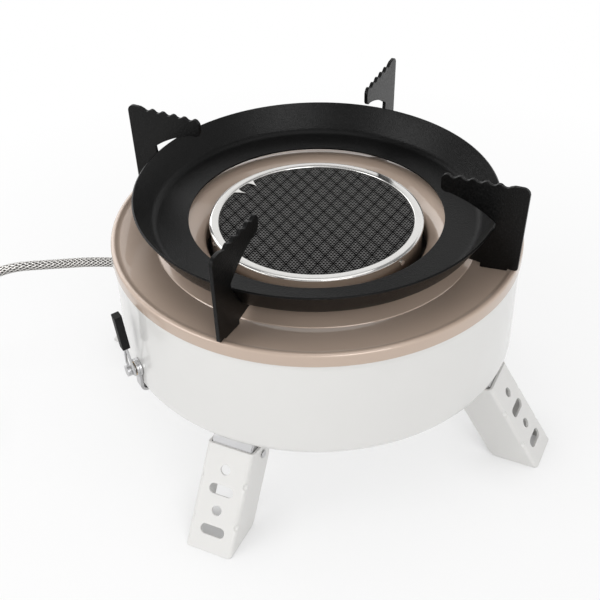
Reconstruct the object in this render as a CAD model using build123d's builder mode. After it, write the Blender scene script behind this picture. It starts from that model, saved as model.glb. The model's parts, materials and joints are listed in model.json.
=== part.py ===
"""Portable gas stove: round body on four folding legs, ceramic burner, lift-off windshield and hose."""
import os
from math import cos, pi, radians, sin, sqrt, tan

from build123d import *

os.makedirs("parts", exist_ok=True)

# Clearances that pieces share
seat_gap = 0.1
running_gap = 0.05
moving_gap = 0.3
cut_overrun = 2.0

# Heights above the ground
cover_height = 128.5
body_underside = 56.5

# Body shell, a drawn cup of sheet steel
body_radius = 120.0
body_wall = 1.0
body_edge_radius = 6.0
neck_drop = 10.0
neck_rise = 3.4
neck_inset = 0.5
neck_bend_radius = 1.5
air_hole_radius = 4.0
air_hole_circle = 42.0
air_hole_count = 12

# Top cover, a drawn ring that closes the body
cover_sheet = 0.8
cover_skirt_gap = 0.2
cover_skirt_depth = 6.5
rim_drop = 0.6
bead_height = 1.1
bead_width = 4.4
bead_flank = 1.8
bead_edge_radius = 1.5
bead_inner_radius = 2.0
bead_foot_radius = 5.0
gutter_inset = 25.9
gutter_depth = 2.0
gutter_bend_radius = 1.0
crown_height = 3.2
crown_radius = 6.0
well_slope_share = 0.49
well_gap = 3.0
well_lip_drop = 5.0
well_depth = 14.0
well_lip_radius = 3.0

# Burner sleeve and what it holds
sleeve_radius = 62.5
sleeve_wall = 1.0
sleeve_rise = 4.0
sleeve_depth = 40.5
sleeve_edge_radius = 3.0
plate_radius = 59.9
plate_thickness = 13.0
plate_groove_pitch = 7.6
plate_groove_width = 0.9
plate_groove_depth = 0.6
plate_groove_angle = 60.0
plate_groove_turn = 25.0
gasket_thickness = 0.6
gasket_drop = 0.3
seat_ring_sheet = 1.0
seat_ring_width = 6.4
seat_ring_skirt = 7.5
ring_inner_radius = 57.5
ring_overhang = 0.8
ring_sheet = 0.8
ring_bead_radius = 0.9
ring_bead_inset = 1.0
ring_tab_count = 3
ring_tab_width = 8.0
ring_tab_sheet = 0.4
ring_tab_depth = 5.0
ring_tab_azimuth = 344.0
tongue_azimuths = (172.3, 160.2)
tongue_length = 6.6
tongue_base_width = 4.0
tongue_tip_width = 1.4
rivet_head_radius = 1.6
rivet_head_height = 0.8
rivet_radius = 0.8
rivet_drop = 3.2
diffuser_radius = 28.0
diffuser_height = 10.0
diffuser_sheet = 0.8
diffuser_edge_radius = 3.0
diffuser_slot_count = 10
diffuser_slot_width = 5.0
diffuser_slot_height = 4.0

# Mixing tube under the burner, fed by the jet
valve_azimuth = 235.0
valve_height = 71.5
tube_radius = 11.0
tube_wall = 1.0
tube_end_inset = 22.5
tube_end_rise = 3.0
tube_flange_radius = 17.0
tube_flange_thickness = 1.5
air_window_setback = 19.5
air_window_length = 10.0
air_window_width = 9.0

# Stand that carries the burner on the body's floor
stand_sheet = 1.5
stand_width = 26.0
stand_top_half = 48.0
stand_foot_start = 60.0
stand_foot_end = 82.0
stand_bend_radius = 4.0
stand_screw_reach = 72.0
stand_screw_offset = 7.5

# Screws through the underside
screw_radius = 1.5
screw_head_radius = 3.0
screw_head_height = 1.6
screw_length = 6.0

# Valve, jet and control spindle
valve_radius = 9.0
valve_wall_gap = 0.6
valve_length = 20.4
valve_neck_radius = 4.2
jet_seat_length = 4.0
jet_flat_half = 4.0
jet_hex_length = 5.0
jet_tip_radius = 2.4
jet_tip_length = 4.0
jet_bore_radius = 0.5
valve_inlet_setback = 10.4
valve_inlet_radius = 4.5
valve_inlet_rise = 13.0
valve_nut_wall = 1.1
valve_nut_thickness = 1.4
spindle_radius = 2.2
spindle_depth = 14.4
spindle_head_radius = 3.4
spindle_overhang = 3.0
seal_thickness = 1.2
seal_wall = 1.0
plate_strip_sheet = 1.8
plate_strip_width = 6.5
plate_strip_eye_wall = 1.2
plate_strip_bend = 2.5
plate_strip_length = 20.0
plate_strip_screw_inset = 14.0
hole_clearance = 0.3

# Folding key on the spindle
key_hole_setback = 1.6
key_lean = 5.6
key_wire_radius = 0.75
key_foot_gap = 2.8
key_end_half = 0.7
key_loop_half = 1.3
key_loop_height = 40.0
key_foot_bend = 1.3
key_neck_bend = 6.0
key_loop_bend = 1.1
key_sleeve_start = 17.8
key_sleeve_length = 24.0
key_sleeve_width = 5.4
key_sleeve_depth = 4.6
key_sleeve_edge = 0.5

# Gas inlet, supply pipe and hose
inlet_azimuth = 200.0
inlet_height = 95.4
inlet_neck_radius = 5.0
inlet_neck_length = 10.1
inlet_flange_flat_half = 6.0
inlet_flange_thickness = 2.5
inlet_nut_flat_half = 7.0
inlet_nut_gap = 0.7
inlet_nut_thickness = 3.5
pipe_radius = 2.0
pipe_turn_run = 18.0
pipe_crest_rise = 18.9
pipe_bend_radius = 8.0
pipe_nut_flat_half = 4.5
pipe_nut_length = 7.0
hose_diameter = 6.0
ferrule_wall = 1.0
ferrule_length = 3.6

# Route of the hose's free stretch: out from the body's side, sideways along the ground, height of its axis
hose_corner_share = 0.45
hose_route = [
    (19.0, 0.0, inlet_height),
    (43.0, 0.0, 92.4),
    (80.0, 0.0, 88.0),
    (109.0, 0.0, 65.0),
    (121.0, 0.0, 34.0),
    (137.0, 6.0, 11.0),
    (157.0, 27.0, 3.0),
    (165.5, 56.0, 3.0),
]

# Coil of the hose's spare length and the union on its end
coil_radius = 36.0
coil_gap = 0.5
coil_half_turns_down = 3
coil_half_turns_up = 2
sample_count = 720
tail_length = 34.0
end_ferrule_length = 16.0
union_flat_half = 8.0
union_length = 15.0
union_bore_radius = 6.6
union_bore_depth = 10.0
union_cone_radius = 4.6
union_cone_length = 5.0
union_pipe_radius = 2.0

# Windshield, a flared ring of sheet steel
shield_sheet = 1.2
shield_floor_width = 20.9
shield_foot_overhang = 0.7
shield_flare = 10.4
shield_lift = 8.0
shield_height = 17.3
shield_bend_radius = 7.0

# Pan supports, four flat plates that carry the windshield
support_sheet = 2.2
support_azimuths = {"right": 0.0, "back": 90.0, "left": 180.0, "front": 270.0}
support_top = 54.4
support_top_overhang = 2.8
support_foot_overhang = 0.8
support_toe_gap = 0.8
support_toe_flank = 0.6
support_step_run = 5.4
support_step_rise = 2.7
support_arm_inset = 11.8
support_tip_inset = 31.6
support_tip_low = 42.0
support_tip_round = 3.5
support_tip_edge = 3.0
support_notch_rise = 4.0
support_notch_gap = 0.6
support_throat_start = 5.4
support_throat_middle = 22.4
support_throat_drop = 6.3
support_wave_start = 1.3
support_tooth_count = 5
support_tooth_pitch = 7.3
support_tooth_depth = 1.6
support_tooth_drop = 2.1
support_tooth_climb = 0.8
support_land_run = 2.6
support_land_drop = 0.3
support_corner_radius = 4.0
support_heel_radius = 1.6

# Folding legs, channels of sheet steel
leg_sheet = 1.5
leg_width = 28.6
leg_depth = 24.0
leg_bend_radius = 2.2
leg_lean = 33.0
leg_length = 61.2
leg_foot_corner = 6.0
leg_top_corner = 9.0
leg_pin_place = 60.0
leg_pin_depth = 14.5
leg_rear_rise = 9.5
leg_hole_radius = 3.0
leg_slot_length = 15.0
leg_hole_count = 4
leg_hole_start = 12.5
leg_hole_pitch = 12.0
dimple_radius = 2.8
dimple_depth = 1.0
leg_pin_radius = 1.6
leg_pin_head_radius = 2.5
leg_pin_head_height = 0.6

# Leg brackets under the body
bracket_sheet = 1.5
bracket_front_inset = 6.84
bracket_length = 17.2
bracket_end_radius = 6.0
bracket_rivet_setback = 11.2
bracket_rivet_offset = 6.0
bracket_rivet_radius = 1.6
bracket_rivet_head_radius = 2.8
bracket_rivet_head_height = 1.2

# Places worked out from the sizes above
cover_radius = body_radius + cover_skirt_gap + cover_sheet
body_floor = body_underside + body_wall
rim_top = cover_height + bead_height - cover_sheet - rim_drop
dish_radius = cover_radius - bead_width
gutter_radius = cover_radius - gutter_inset
dish_slope = gutter_depth / (dish_radius - gutter_radius)
well_radius = sleeve_radius + well_gap
crown_reach = well_radius + well_slope_share * (gutter_radius - well_radius)
sleeve_top = cover_height + sleeve_rise
sleeve_bottom = cover_height - sleeve_depth
sleeve_floor = sleeve_bottom + sleeve_wall
sleeve_bore = sleeve_radius - sleeve_wall
plate_bottom = sleeve_top - plate_thickness
gasket_radius = plate_radius + running_gap + gasket_thickness
ring_tab_reach = gasket_radius + seat_gap
tube_bore = tube_radius - tube_wall
tube_end_reach = body_radius - tube_end_inset
air_window_start = tube_end_reach - air_window_setback
stand_top = sleeve_bottom - tube_flange_thickness
valve_outer_reach = body_radius - body_wall - valve_wall_gap
valve_inner_reach = valve_outer_reach - valve_length
valve_inlet_reach = valve_outer_reach - valve_inlet_setback
valve_neck_end = body_radius + seat_gap + plate_strip_sheet + valve_nut_thickness
jet_reach = valve_inner_reach - jet_seat_length
spindle_inner_reach = valve_outer_reach - spindle_depth
spindle_head_reach = valve_neck_end + moving_gap
key_pivot_reach = spindle_head_reach + key_hole_setback
spindle_reach = key_pivot_reach + spindle_overhang
inlet_flange_reach = body_radius + seat_gap
inlet_face_reach = inlet_flange_reach + inlet_flange_thickness
inlet_neck_end = inlet_flange_reach - inlet_neck_length
inlet_nut_reach = body_radius - body_wall - inlet_nut_gap
hose_start = (inlet_face_reach + ferrule_length - body_radius, 0.0, inlet_height)
hose_radius = hose_diameter / 2
shield_underside = cover_height + shield_lift
shield_foot_radius = gutter_radius + shield_foot_overhang
shield_hole_radius = shield_foot_radius - shield_floor_width
shield_rim_radius = shield_foot_radius + shield_flare
support_tip_radius = shield_rim_radius - support_tip_inset
wave_start = support_tip_radius + support_wave_start
wave_end = wave_start + support_tooth_pitch * support_tooth_count
leg_half = leg_width / 2
leg_azimuths = support_azimuths
leg_stop_depth = leg_sheet + moving_gap
leg_run = body_underside * tan(radians(leg_lean)) + leg_stop_depth / cos(radians(leg_lean))
foot_radius = body_radius - bracket_front_inset + leg_run


def direction(azimuth):
    """Unit vector that points outwards at an azimuth."""
    return Vector(cos(radians(azimuth)), sin(radians(azimuth)), 0)


def tangent(azimuth):
    """Unit vector along the body's side, anticlockwise seen from above."""
    return direction(azimuth + 90)


def radial_plane(azimuth):
    """Upright plane through the axis: x runs outwards and y runs up."""
    return Plane(origin=(0, 0, 0), x_dir=direction(azimuth), z_dir=direction(azimuth - 90))


def spoke_plane(azimuth, reach, height):
    """Plane that faces outwards at a distance from the axis and a height."""
    return Plane(origin=direction(azimuth) * reach + Vector(0, 0, height), x_dir=tangent(azimuth),
                 z_dir=direction(azimuth))


def level_plane(height):
    """Level plane at a height above the ground."""
    return Plane.XY.offset(height)


def spot_plane(spot, height):
    """Level plane whose middle is above or below a spot."""
    return Plane(origin=(spot.X, spot.Y, height))


def leg_point(place, depth):
    """Point of a leg's side view: place along the outer face from the foot, depth behind that face."""
    lean = radians(leg_lean)
    return (foot_radius - place * sin(lean) - depth * cos(lean), place * cos(lean) - depth * sin(lean))


def under_body(depth):
    """Point of a leg's side view where a depth behind its outer face meets the body's underside."""
    place = (body_underside + depth * sin(radians(leg_lean))) / cos(radians(leg_lean))
    return leg_point(place, depth)


def finish(piece, name):
    """Label a finished piece and write it to its own file."""
    piece.label = name
    export_step(piece, f"parts/{name}.step")


# Places of the leg brackets and their rivets under the body
bracket_front = under_body(leg_stop_depth)
bracket_rear = bracket_front[0] - bracket_length
bracket_rivet_reach = bracket_front[0] - bracket_rivet_setback

# Body shell, drawn in at the top to take the cover's skirt
neck_foot = cover_height - neck_drop
neck_radius = body_radius - neck_inset
with BuildPart() as body_shell:
    with BuildSketch(Plane.XZ):
        with BuildLine():
            FilletPolyline((0, body_underside), (body_radius, body_underside), (body_radius, neck_foot),
                           (neck_radius, neck_foot + neck_rise), (neck_radius, rim_top),
                           radius=[body_edge_radius, neck_bend_radius, neck_bend_radius])
            offset(amount=body_wall, side=Side.LEFT)
        make_face()
    revolve(axis=Axis.Z)
    with BuildSketch(level_plane(body_underside)):
        with PolarLocations(air_hole_circle, air_hole_count, start_angle=180 / air_hole_count):
            Circle(air_hole_radius)
    extrude(amount=body_wall, mode=Mode.SUBTRACT)
    with BuildSketch(spoke_plane(valve_azimuth, valve_outer_reach, valve_height)):
        Circle(valve_neck_radius + hole_clearance)
    extrude(amount=body_radius - valve_outer_reach + cut_overrun, mode=Mode.SUBTRACT)
    with BuildSketch(spoke_plane(inlet_azimuth, inlet_nut_reach, inlet_height)):
        Circle(inlet_neck_radius + hole_clearance)
    extrude(amount=body_radius - inlet_nut_reach + cut_overrun, mode=Mode.SUBTRACT)
    stand_sides = [direction(valve_azimuth + 90 * side) * stand_screw_reach for side in (-1, 1)]
    stand_aside = direction(valve_azimuth) * stand_screw_offset
    stand_spots = [middle + stand_aside * end for middle in stand_sides for end in (-1, 1)]
    strip_spot = direction(valve_azimuth) * (body_radius - plate_strip_screw_inset)
    with BuildSketch(level_plane(body_underside)):
        with Locations(*stand_spots, strip_spot):
            Circle(screw_radius + running_gap)
    extrude(amount=body_wall, mode=Mode.SUBTRACT)
    rivet_spots = [direction(azimuth) * bracket_rivet_reach + tangent(azimuth) * bracket_rivet_offset * side
                   for azimuth in leg_azimuths.values() for side in (-1, 1)]
    with BuildSketch(level_plane(body_underside)):
        with Locations(*rivet_spots):
            Circle(bracket_rivet_radius + running_gap)
    extrude(amount=body_wall, mode=Mode.SUBTRACT)
finish(body_shell.part, "body_shell")

# Top cover: a well round the burner, a crown, a gutter, a shallow dish and a rolled bead
with BuildPart() as top_cover:
    with BuildSketch(Plane.XZ):
        with BuildLine():
            FilletPolyline(
                (well_radius, cover_height - well_depth),
                (well_radius, cover_height - well_lip_drop),
                (crown_reach, cover_height + crown_height),
                (gutter_radius, cover_height - gutter_depth),
                (dish_radius, cover_height),
                (dish_radius + bead_flank, cover_height + bead_height),
                (cover_radius, cover_height + bead_height),
                (cover_radius, cover_height - cover_skirt_depth),
                radius=[well_lip_radius, crown_radius, gutter_bend_radius, bead_foot_radius,
                        bead_inner_radius, bead_edge_radius],
            )
            offset(amount=cover_sheet, side=Side.RIGHT)
        make_face()
    revolve(axis=Axis.Z)
finish(top_cover.part, "top_cover")

# Burner sleeve, a cup that holds the ceramic plate
ring_tab_spots = [ring_tab_azimuth + 360 / ring_tab_count * turn for turn in range(ring_tab_count)]
rivet_height = sleeve_top - rivet_drop
with BuildPart() as burner_sleeve:
    with BuildSketch(Plane.XZ):
        with BuildLine():
            FilletPolyline((0, sleeve_bottom), (sleeve_radius, sleeve_bottom), (sleeve_radius, sleeve_top),
                           radius=sleeve_edge_radius)
            offset(amount=sleeve_wall, side=Side.LEFT)
        make_face()
    revolve(axis=Axis.Z)
    with BuildSketch(level_plane(sleeve_bottom)):
        Circle(tube_radius + seat_gap)
    extrude(amount=sleeve_wall, mode=Mode.SUBTRACT)
    for azimuth in ring_tab_spots:
        with BuildSketch(spoke_plane(azimuth, sleeve_bore - cut_overrun, rivet_height)):
            Circle(rivet_radius + running_gap)
        extrude(amount=sleeve_wall + 2 * cut_overrun, mode=Mode.SUBTRACT)
finish(burner_sleeve.part, "burner_sleeve")

# Ledge inside the sleeve that the plate stands on
with BuildPart() as plate_seat:
    with BuildSketch(Plane.XZ):
        with BuildLine():
            Polyline((sleeve_bore - seat_gap - seat_ring_width, plate_bottom),
                     (sleeve_bore - seat_gap, plate_bottom),
                     (sleeve_bore - seat_gap, plate_bottom - seat_ring_skirt))
            offset(amount=seat_ring_sheet, side=Side.RIGHT)
        make_face()
    revolve(axis=Axis.Z)
finish(plate_seat.part, "plate_seat")

# Ceramic burner plate with its crossed grooves
with BuildPart() as burner_plate:
    with BuildSketch(level_plane(plate_bottom)):
        Circle(plate_radius)
    extrude(amount=plate_thickness)
    groove_count = 2 * int(plate_radius / plate_groove_pitch) + 1
    with BuildSketch(level_plane(sleeve_top)):
        for side in (-1, 1):
            with Locations(Location((0, 0, 0), (0, 0, plate_groove_turn + side * plate_groove_angle))):
                with GridLocations(plate_groove_pitch, plate_groove_pitch, 1, groove_count):
                    Rectangle(2 * plate_radius, plate_groove_width)
        Circle(ring_inner_radius, mode=Mode.INTERSECT)
    extrude(amount=-plate_groove_depth, mode=Mode.SUBTRACT)
finish(burner_plate.part, "burner_plate")

# Fibre gasket round the plate
with BuildPart() as plate_gasket:
    with BuildSketch(level_plane(plate_bottom)):
        Circle(gasket_radius)
        Circle(plate_radius + running_gap, mode=Mode.SUBTRACT)
    extrude(amount=plate_thickness - gasket_drop)
finish(plate_gasket.part, "plate_gasket")

# Polished ring that holds the plate down, with its tabs and two tongues
ring_outer_radius = sleeve_radius + ring_overhang
with BuildPart() as retaining_ring:
    with BuildSketch(level_plane(sleeve_top)):
        Circle(ring_outer_radius)
        Circle(ring_inner_radius, mode=Mode.SUBTRACT)
        for azimuth in tongue_azimuths:
            with BuildLine():
                root = direction(azimuth) * (ring_inner_radius + ring_sheet)
                tip = direction(azimuth) * (ring_inner_radius - tongue_length)
                root_aside = tangent(azimuth) * tongue_base_width / 2
                tip_aside = tangent(azimuth) * tongue_tip_width / 2
                Polyline(root - root_aside, tip - tip_aside, tip + tip_aside, root + root_aside, close=True)
            make_face()
    extrude(amount=ring_sheet)
    with BuildSketch(Plane.XZ):
        with Locations((ring_outer_radius - ring_bead_inset, sleeve_top + ring_sheet)):
            Circle(ring_bead_radius)
        with Locations((ring_outer_radius - ring_bead_inset, sleeve_top - ring_bead_radius)):
            Rectangle(2 * ring_bead_radius, 2 * ring_bead_radius, mode=Mode.SUBTRACT)
    revolve(axis=Axis.Z)
    for azimuth in ring_tab_spots:
        with BuildSketch(spoke_plane(azimuth, ring_tab_reach, sleeve_top)):
            with Locations((0, -ring_tab_depth / 2)):
                Rectangle(ring_tab_width, ring_tab_depth)
            with Locations((0, -rivet_drop)):
                Circle(rivet_radius + running_gap, mode=Mode.SUBTRACT)
        extrude(amount=ring_tab_sheet)
finish(retaining_ring.part, "retaining_ring")

# Small rivets that hold the ring's tabs to the sleeve
with BuildPart() as sleeve_rivets:
    for azimuth in ring_tab_spots:
        with BuildSketch(spoke_plane(azimuth, ring_tab_reach, rivet_height)):
            Circle(rivet_radius)
        extrude(amount=sleeve_radius + seat_gap - ring_tab_reach)
        with BuildSketch(spoke_plane(azimuth, sleeve_radius + seat_gap, rivet_height)):
            Circle(rivet_head_radius)
        extrude(amount=rivet_head_height)
finish(sleeve_rivets.part, "sleeve_rivets")

# Slotted cup over the gas outlet that spreads the mixture
with BuildPart() as gas_diffuser:
    with BuildSketch(Plane.XZ):
        with BuildLine():
            diffuser_top = sleeve_floor + diffuser_height
            FilletPolyline((0, diffuser_top), (diffuser_radius, diffuser_top),
                           (diffuser_radius, sleeve_floor), radius=diffuser_edge_radius)
            offset(amount=diffuser_sheet, side=Side.RIGHT)
        make_face()
    revolve(axis=Axis.Z)
    for turn in range(diffuser_slot_count):
        slot_azimuth = 360 / diffuser_slot_count * turn
        with BuildSketch(spoke_plane(slot_azimuth, diffuser_radius - cut_overrun, sleeve_floor)):
            with Locations((0, diffuser_height / 2)):
                Rectangle(diffuser_slot_width, diffuser_slot_height)
        extrude(amount=2 * cut_overrun, mode=Mode.SUBTRACT)
finish(gas_diffuser.part, "gas_diffuser")

# Mixing tube from the jet to the burner's centre
tube_out = direction(valve_azimuth)
elbow_radius = sleeve_bottom - valve_height
with BuildPart() as mixing_tube:
    with BuildLine() as tube_path:
        FilletPolyline(tube_out * tube_end_reach + Vector(0, 0, valve_height), Vector(0, 0, valve_height),
                       Vector(0, 0, sleeve_bottom + tube_end_rise), radius=elbow_radius)
    with BuildSketch(spoke_plane(valve_azimuth, tube_end_reach, valve_height)):
        Circle(tube_radius)
        Circle(tube_bore, mode=Mode.SUBTRACT)
    sweep(path=tube_path.wire())
    with BuildSketch(level_plane(stand_top)):
        Circle(tube_flange_radius)
        Circle(tube_radius - tube_wall / 2, mode=Mode.SUBTRACT)
    extrude(amount=tube_flange_thickness)
    window_middle = tube_out * (air_window_start + air_window_length / 2) + Vector(0, 0, valve_height)
    for window_out in (tangent(valve_azimuth), Vector(0, 0, 1)):
        with BuildSketch(Plane(origin=window_middle, x_dir=tube_out, z_dir=window_out)):
            Rectangle(air_window_length, air_window_width)
        extrude(amount=tube_radius + cut_overrun, both=True, mode=Mode.SUBTRACT)
finish(mixing_tube.part, "mixing_tube")

# Stand under the burner, one bent strap
stand_turn = valve_azimuth + 90
foot_top = body_floor + stand_sheet
with BuildPart() as burner_stand:
    with BuildSketch(radial_plane(stand_turn)):
        with BuildLine():
            FilletPolyline((-stand_foot_end, foot_top), (-stand_foot_start, foot_top),
                           (-stand_top_half, stand_top), (stand_top_half, stand_top),
                           (stand_foot_start, foot_top), (stand_foot_end, foot_top), radius=stand_bend_radius)
            offset(amount=stand_sheet, side=Side.RIGHT)
        make_face()
    extrude(amount=stand_width / 2, both=True)
    with BuildSketch(level_plane(stand_top)):
        Circle(tube_radius + stand_sheet)
    extrude(amount=-stand_sheet - cut_overrun, mode=Mode.SUBTRACT)
    with BuildSketch(level_plane(body_floor)):
        with Locations(*stand_spots):
            Circle(screw_radius + running_gap)
    extrude(amount=stand_sheet, mode=Mode.SUBTRACT)
finish(burner_stand.part, "burner_stand")

# Screws from below into the stand
with BuildPart() as base_screws:
    with BuildSketch(level_plane(body_underside - screw_head_height)):
        with Locations(*stand_spots):
            Circle(screw_head_radius)
    extrude(amount=screw_head_height)
    with BuildSketch(level_plane(body_underside)):
        with Locations(*stand_spots):
            Circle(screw_radius)
    extrude(amount=screw_length)
finish(base_screws.part, "base_screws")

# Valve body with its neck through the wall and its inlet on top
valve_spot = direction(valve_azimuth) * valve_inlet_reach
inlet_top = valve_height + valve_inlet_rise
seal_radius = spindle_radius + running_gap + seal_wall
with BuildPart() as valve_body:
    with BuildSketch(spoke_plane(valve_azimuth, valve_inner_reach, valve_height)):
        Circle(valve_radius)
    extrude(amount=valve_outer_reach - valve_inner_reach)
    with BuildSketch(spoke_plane(valve_azimuth, jet_reach, valve_height)):
        Circle(tube_bore - running_gap)
    extrude(amount=jet_seat_length)
    with BuildSketch(spoke_plane(valve_azimuth, valve_outer_reach, valve_height)):
        Circle(valve_neck_radius)
    extrude(amount=valve_neck_end - valve_outer_reach)
    with BuildSketch(spot_plane(valve_spot, valve_height)):
        Circle(valve_inlet_radius)
    extrude(amount=valve_inlet_rise)
    with BuildSketch(spoke_plane(valve_azimuth, spindle_inner_reach, valve_height)):
        Circle(spindle_radius + running_gap)
    extrude(amount=valve_neck_end - spindle_inner_reach, mode=Mode.SUBTRACT)
    with BuildSketch(spoke_plane(valve_azimuth, valve_neck_end - seal_thickness - seat_gap, valve_height)):
        Circle(seal_radius + seat_gap)
    extrude(amount=seal_thickness + seat_gap, mode=Mode.SUBTRACT)
finish(valve_body.part, "valve_body")

# Seal round the spindle
with BuildPart() as spindle_seal:
    with BuildSketch(spoke_plane(valve_azimuth, valve_neck_end - seal_thickness, valve_height)):
        Circle(seal_radius)
        Circle(spindle_radius + running_gap, mode=Mode.SUBTRACT)
    extrude(amount=seal_thickness)
finish(spindle_seal.part, "spindle_seal")

# Jet on the valve's inner end
with BuildPart() as gas_jet:
    with BuildSketch(spoke_plane(valve_azimuth, jet_reach, valve_height)):
        RegularPolygon(jet_flat_half, 6, major_radius=False)
    extrude(amount=-jet_hex_length)
    with BuildSketch(spoke_plane(valve_azimuth, jet_reach - jet_hex_length, valve_height)):
        Circle(jet_tip_radius)
    extrude(amount=-jet_tip_length)
    with BuildSketch(spoke_plane(valve_azimuth, jet_reach, valve_height)):
        Circle(jet_bore_radius)
    extrude(amount=-jet_hex_length - jet_tip_length, mode=Mode.SUBTRACT)
finish(gas_jet.part, "gas_jet")

# Steel strip round the body's lower edge, with an eye that the valve is clamped to
nut_radius = valve_neck_radius + seat_gap + valve_nut_wall
with BuildPart() as valve_strip:
    with BuildSketch(radial_plane(valve_azimuth)):
        with BuildLine():
            FilletPolyline((body_radius - plate_strip_length, body_underside - seat_gap),
                           (body_radius + seat_gap, body_underside - seat_gap),
                           (body_radius + seat_gap, valve_height), radius=plate_strip_bend)
            offset(amount=plate_strip_sheet, side=Side.RIGHT)
        make_face()
    extrude(amount=plate_strip_width / 2, both=True)
    with BuildSketch(spoke_plane(valve_azimuth, body_radius + seat_gap, valve_height)):
        Circle(valve_neck_radius + seat_gap + plate_strip_eye_wall)
    extrude(amount=plate_strip_sheet)
    with BuildSketch(spoke_plane(valve_azimuth, body_radius, valve_height)):
        Circle(valve_neck_radius + seat_gap)
    extrude(amount=plate_strip_sheet + cut_overrun, mode=Mode.SUBTRACT)
    with BuildSketch(level_plane(body_underside)):
        with Locations(strip_spot):
            Circle(screw_radius + running_gap)
    extrude(amount=-plate_strip_sheet - cut_overrun, mode=Mode.SUBTRACT)
finish(valve_strip.part, "valve_strip")

# Screw that holds the strip to the underside
with BuildPart() as strip_screw:
    with BuildSketch(spot_plane(strip_spot, body_underside - seat_gap - plate_strip_sheet)):
        Circle(screw_head_radius)
    extrude(amount=-screw_head_height)
    with BuildSketch(spot_plane(strip_spot, body_underside - seat_gap - plate_strip_sheet)):
        Circle(screw_radius)
    extrude(amount=screw_length)
finish(strip_screw.part, "strip_screw")

# Round nut on the valve's neck, outside the strip
with BuildPart() as valve_nut:
    with BuildSketch(spoke_plane(valve_azimuth, valve_neck_end - valve_nut_thickness, valve_height)):
        Circle(nut_radius)
        Circle(valve_neck_radius + seat_gap, mode=Mode.SUBTRACT)
    extrude(amount=valve_nut_thickness)
finish(valve_nut.part, "valve_nut")

# Spindle that opens the valve, with a thick head and the cross hole for the key
with BuildPart() as valve_spindle:
    with BuildSketch(spoke_plane(valve_azimuth, spindle_inner_reach + moving_gap, valve_height)):
        Circle(spindle_radius)
    extrude(amount=spindle_head_reach - spindle_inner_reach - moving_gap)
    with BuildSketch(spoke_plane(valve_azimuth, spindle_head_reach, valve_height)):
        Circle(spindle_head_radius)
    extrude(amount=spindle_reach - spindle_head_reach)
    with BuildSketch(radial_plane(valve_azimuth)):
        with Locations((key_pivot_reach, valve_height)):
            Circle(key_wire_radius + running_gap)
    extrude(amount=spindle_head_radius + cut_overrun, both=True, mode=Mode.SUBTRACT)
finish(valve_spindle.part, "valve_spindle")

# Folding key: a wire loop in the spindle's cross hole with a grip sleeve
key_up = direction(valve_azimuth) * sin(radians(key_lean)) + Vector(0, 0, 1) * cos(radians(key_lean))
key_plane = Plane(origin=direction(valve_azimuth) * key_pivot_reach + Vector(0, 0, valve_height),
                  x_dir=tangent(valve_azimuth), z_dir=tangent(valve_azimuth).cross(key_up))
key_foot_half = spindle_head_radius + key_foot_gap + key_wire_radius
with BuildPart() as key_wire:
    with BuildLine(key_plane) as key_path:
        FilletPolyline((-key_end_half, 0), (-key_foot_half, 0), (-key_loop_half, key_sleeve_start),
                       (-key_loop_half, key_loop_height), (key_loop_half, key_loop_height),
                       (key_loop_half, key_sleeve_start), (key_foot_half, 0), (key_end_half, 0),
                       radius=[key_foot_bend, key_neck_bend, key_loop_bend, key_loop_bend, key_neck_bend,
                               key_foot_bend])
    with BuildSketch(Plane(origin=key_path.wire() @ 0, z_dir=key_path.wire() % 0)):
        Circle(key_wire_radius)
    sweep(path=key_path.wire())
finish(key_wire.part, "key_wire")

sleeve_foot = key_plane.from_local_coords(Vector(0, key_sleeve_start, 0))
sleeve_plane = Plane(origin=sleeve_foot, x_dir=key_plane.x_dir, z_dir=key_up)
with BuildPart() as key_sleeve:
    with BuildSketch(sleeve_plane):
        RectangleRounded(key_sleeve_width, key_sleeve_depth, key_sleeve_edge)
    extrude(amount=key_sleeve_length)
    with BuildSketch(sleeve_plane):
        SlotCenterToCenter(2 * key_loop_half, 2 * (key_wire_radius + running_gap))
    extrude(amount=key_loop_height + key_wire_radius + seat_gap - key_sleeve_start, mode=Mode.SUBTRACT)
finish(key_sleeve.part, "key_sleeve")

# Gas inlet through the wall
with BuildPart() as gas_inlet:
    with BuildSketch(spoke_plane(inlet_azimuth, inlet_flange_reach, inlet_height)):
        RegularPolygon(inlet_flange_flat_half, 6, major_radius=False)
    extrude(amount=inlet_flange_thickness)
    with BuildSketch(spoke_plane(inlet_azimuth, inlet_neck_end, inlet_height)):
        Circle(inlet_neck_radius)
    extrude(amount=inlet_flange_reach - inlet_neck_end)
finish(gas_inlet.part, "gas_inlet")

# Nut that clamps the inlet from inside
with BuildPart() as inlet_nut:
    with BuildSketch(spoke_plane(inlet_azimuth, inlet_nut_reach, inlet_height)):
        RegularPolygon(inlet_nut_flat_half, 6, major_radius=False)
        Circle(inlet_neck_radius + running_gap, mode=Mode.SUBTRACT)
    extrude(amount=-inlet_nut_thickness)
finish(inlet_nut.part, "inlet_nut")

# Supply pipe from the inlet to the valve
pipe_start = direction(inlet_azimuth) * inlet_neck_end + Vector(0, 0, inlet_height)
pipe_turn = pipe_start - direction(inlet_azimuth) * pipe_turn_run
pipe_drop = valve_spot + Vector(0, 0, inlet_top + pipe_crest_rise)
pipe_end = valve_spot + Vector(0, 0, inlet_top)
with BuildPart() as supply_pipe:
    with BuildLine() as pipe_path:
        FilletPolyline(pipe_start, pipe_turn, pipe_drop, pipe_end, radius=pipe_bend_radius)
    with BuildSketch(Plane(origin=pipe_start, z_dir=-direction(inlet_azimuth))):
        Circle(pipe_radius)
    sweep(path=pipe_path.wire())
finish(supply_pipe.part, "supply_pipe")

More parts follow.
